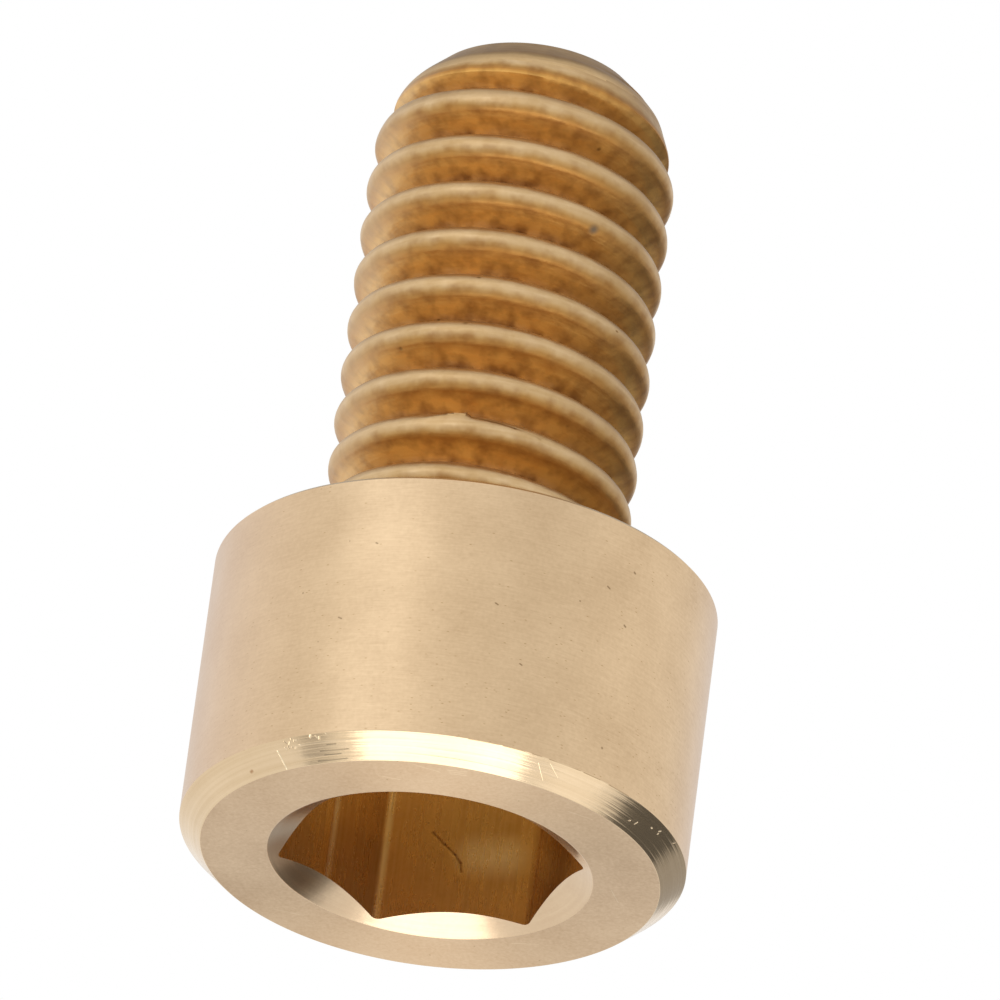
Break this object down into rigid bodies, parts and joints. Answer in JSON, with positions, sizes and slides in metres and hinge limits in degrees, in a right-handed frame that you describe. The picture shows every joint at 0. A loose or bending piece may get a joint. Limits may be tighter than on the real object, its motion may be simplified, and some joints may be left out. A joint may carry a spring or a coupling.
{
  "type": "socket head cap screw",
  "caption": "Brass socket head cap screw with a plain cylindrical head, a chamfered drive end, a countersunk hexagon socket and a shank threaded up to the head.",
  "frame": {"origin": "centre of the drive face, on the surface that the screw stands on", "axes": "+Z along the screw's axis from the drive face to the tip, +X through a corner of the hexagon"},
  "size_m": [0.0094, 0.0094, 0.0165],
  "materials": {
    "brass": "plain turned brass, satin"
  },
  "bodies": {
    "root": {"cap_screw": "brass"}
  },
  "joints": []
}
